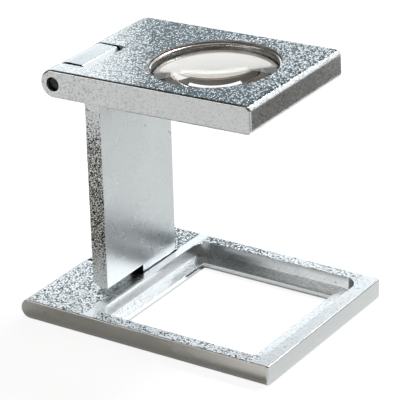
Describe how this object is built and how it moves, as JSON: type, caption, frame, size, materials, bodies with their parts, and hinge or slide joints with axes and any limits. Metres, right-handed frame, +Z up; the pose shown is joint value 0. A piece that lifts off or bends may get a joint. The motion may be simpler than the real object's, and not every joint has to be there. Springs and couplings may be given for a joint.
{
  "type": "folding stand magnifier",
  "caption": "Folding stand magnifier: base frame with a square window, upright and thick lens plate, joined by two hinges so that it folds flat.",
  "frame": {"origin": "centre of the underside of the base frame, which is the bottom centre of the part's box", "axes": "+X from the hinges to the front of the base, +Y across the object along both hinge pins, +Z up from the surface it stands on"},
  "size_m": [0.0576, 0.043, 0.0534],
  "materials": {
    "base_casting": "satin, blasted before plating",
    "upright_casting": "satin",
    "lens_plate_casting": "satin, blasted before plating",
    "lens_glass": "polished, clear",
    "ring_wire": "drawn wire",
    "pin_steel": "ground",
    "washer_steel": "spring steel, plain"
  },
  "bodies": {
    "base": {"base_frame": "base_casting", "lower_hinge_pin": "pin_steel", "lower_spring_washer": "washer_steel"},
    "upright": {"upright": "upright_casting"},
    "lens_plate": {"lens_plate": "lens_plate_casting", "lens": "lens_glass", "lens_retaining_ring": "ring_wire", "upper_hinge_pin": "pin_steel", "upper_spring_washer": "washer_steel"}
  },
  "joints": [
    {"name": "upright_fold", "type": "hinge", "parent": "base", "child": "upright", "pos_m": [-0.02675, 0, 0.002], "axis": [0, -1, 0], "range_deg": [0, 270]},
    {"name": "lens_plate_fold", "type": "hinge", "parent": "upright", "child": "lens_plate", "pos_m": [-0.0215, 0, 0.0493], "axis": [0, -1, 0], "range_deg": [0, 268.4]}
  ]
}
